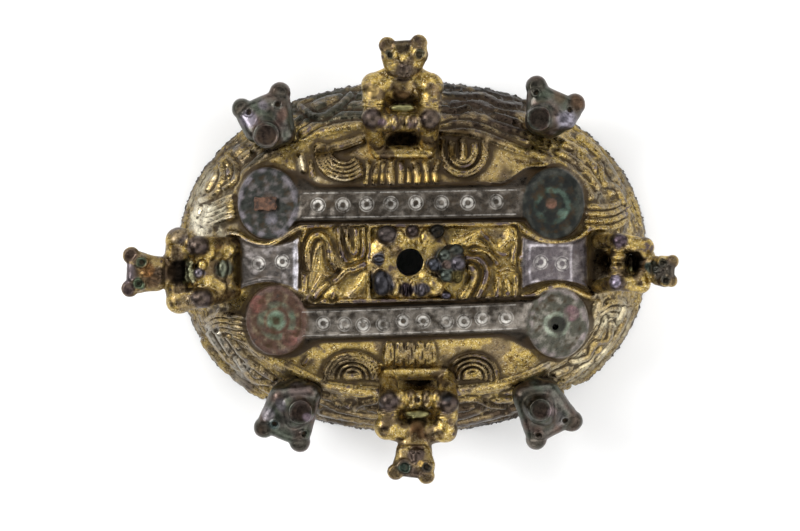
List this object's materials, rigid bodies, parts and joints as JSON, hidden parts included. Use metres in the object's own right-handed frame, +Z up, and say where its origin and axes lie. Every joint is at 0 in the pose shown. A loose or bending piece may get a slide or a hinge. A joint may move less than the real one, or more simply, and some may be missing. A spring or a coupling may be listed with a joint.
{
  "type": "oval brooch",
  "caption": "Domed oval brooch of gilded bronze, hollow below, with ring-and-dot bands, round boss seats, upright bear heads and seated gripping beasts.",
  "frame": {"origin": "on the rim plane, under the middle of the whole brooch's footprint", "axes": "+X along the long axis, towards the smaller seated beast; +Z up out of the crown; the hollow opens to -Z"},
  "size_m": [0.1184, 0.0952, 0.0357],
  "materials": {
    "gilded_bronze": "fire-gilded copper alloy, worn, with dark dirt in the hollows",
    "worn_gilding": "gilding rubbed through to purple-brown bronze on the high points",
    "dark_bronze": "ungilded bronze with a smooth dark grey-brown patina",
    "rusty_iron": "corroded iron, matt and crusty"
  },
  "bodies": {
    "root": {"shell": "gilded_bronze", "seated_beast_north": "worn_gilding", "seated_beast_south": "worn_gilding", "seated_beast_west": "worn_gilding", "seated_beast_east": "worn_gilding", "seated_beast_centre": "worn_gilding", "bear_head_nw": "dark_bronze", "bear_head_ne": "dark_bronze", "bear_head_sw": "dark_bronze", "bear_head_se": "dark_bronze", "rivet_stub": "rusty_iron"}
  },
  "joints": []
}
